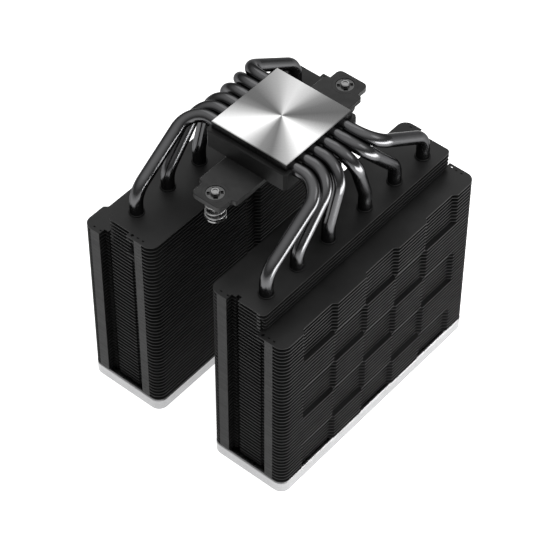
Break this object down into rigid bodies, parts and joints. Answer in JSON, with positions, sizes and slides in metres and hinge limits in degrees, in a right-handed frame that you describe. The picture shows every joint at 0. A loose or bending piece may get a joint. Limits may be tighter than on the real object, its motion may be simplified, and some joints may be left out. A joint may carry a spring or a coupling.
{
  "type": "cpu tower cooler",
  "caption": "Twin-tower air cooler with black fin stacks, bent heat pipes, a machined cold plate and a sprung mounting bar, standing on its pale top covers.",
  "frame": {"origin": "centre of the cold plate's contact face", "axes": "+Z out of the contact face, so the cooler stands upside down on its top covers as it is stored; +X along the long side of the towers and of the mounting bar; +Y from the front tower to the rear tower"},
  "size_m": [0.1298, 0.1116, 0.1456],
  "materials": {
    "cold_plate_nickel": "turned nickel plate on copper",
    "base_block_black": "black satin",
    "bar_black_steel": "black electrocoat, satin",
    "black_screw_steel": "black oxide",
    "pipe_black_nickel": "glossy black nickel on copper",
    "wick_copper": "sintered copper",
    "fin_black": "black satin coating",
    "collar_dark": "dark solder and lacquer",
    "cover_aluminium": "satin anodised",
    "ring_steel": "dark nickel",
    "screw_steel": "zinc plate",
    "spring_steel": "bright spring wire"
  },
  "bodies": {
    "root": {"cold_plate": "cold_plate_nickel", "base_block": "base_block_black", "mounting_bar": "bar_black_steel", "bar_fixing_screws": "black_screw_steel", "heat_pipe_1": "pipe_black_nickel", "heat_pipe_2": "pipe_black_nickel", "heat_pipe_3": "pipe_black_nickel", "heat_pipe_4": "pipe_black_nickel", "heat_pipe_5": "pipe_black_nickel", "heat_pipe_6": "pipe_black_nickel", "pipe_wick_1": "wick_copper", "pipe_wick_2": "wick_copper", "pipe_wick_3": "wick_copper", "pipe_wick_4": "wick_copper", "pipe_wick_5": "wick_copper", "pipe_wick_6": "wick_copper", "front_fins_step": "fin_black", "front_fins_row_1": "fin_black", "front_fins_row_2": "fin_black", "front_fins_row_3": "fin_black", "front_fins_row_4": "fin_black", "front_fins_row_5": "fin_black", "rear_fins_step": "fin_black", "rear_fins_row_1": "fin_black", "rear_fins_row_2": "fin_black", "rear_fins_row_3": "fin_black", "rear_fins_row_4": "fin_black", "rear_fins_row_5": "fin_black", "front_pipe_collars": "collar_dark", "rear_pipe_collars": "collar_dark", "front_cover": "cover_aluminium", "rear_cover": "cover_aluminium", "left_bush": "bar_black_steel", "left_spring": "spring_steel", "right_bush": "bar_black_steel", "right_spring": "spring_steel"},
    "left_spring_seat": {"left_spring_washer": "screw_steel"},
    "left_screw": {"left_captive_screw": "screw_steel", "left_retaining_ring": "ring_steel"},
    "right_spring_seat": {"right_spring_washer": "screw_steel"},
    "right_screw": {"right_captive_screw": "screw_steel", "right_retaining_ring": "ring_steel"}
  },
  "joints": [
    {"name": "left_screw_travel", "type": "slide", "parent": "root", "child": "left_spring_seat", "axis": [0, 0, 1], "range_m": [0, 0.004], "stiffness_N_per_m": 3000, "springref_m": -0.002, "deforming": ["left_spring"]},
    {"name": "left_screw_turn", "type": "hinge", "parent": "left_spring_seat", "child": "left_screw", "pos_m": [-0.042, 0, -0.02], "axis": [0, 0, 1], "continuous": true},
    {"name": "right_screw_travel", "type": "slide", "parent": "root", "child": "right_spring_seat", "axis": [0, 0, 1], "range_m": [0, 0.004], "stiffness_N_per_m": 3000, "springref_m": -0.002, "deforming": ["right_spring"]},
    {"name": "right_screw_turn", "type": "hinge", "parent": "right_spring_seat", "child": "right_screw", "pos_m": [0.042, 0, -0.02], "axis": [0, 0, 1], "continuous": true}
  ]
}
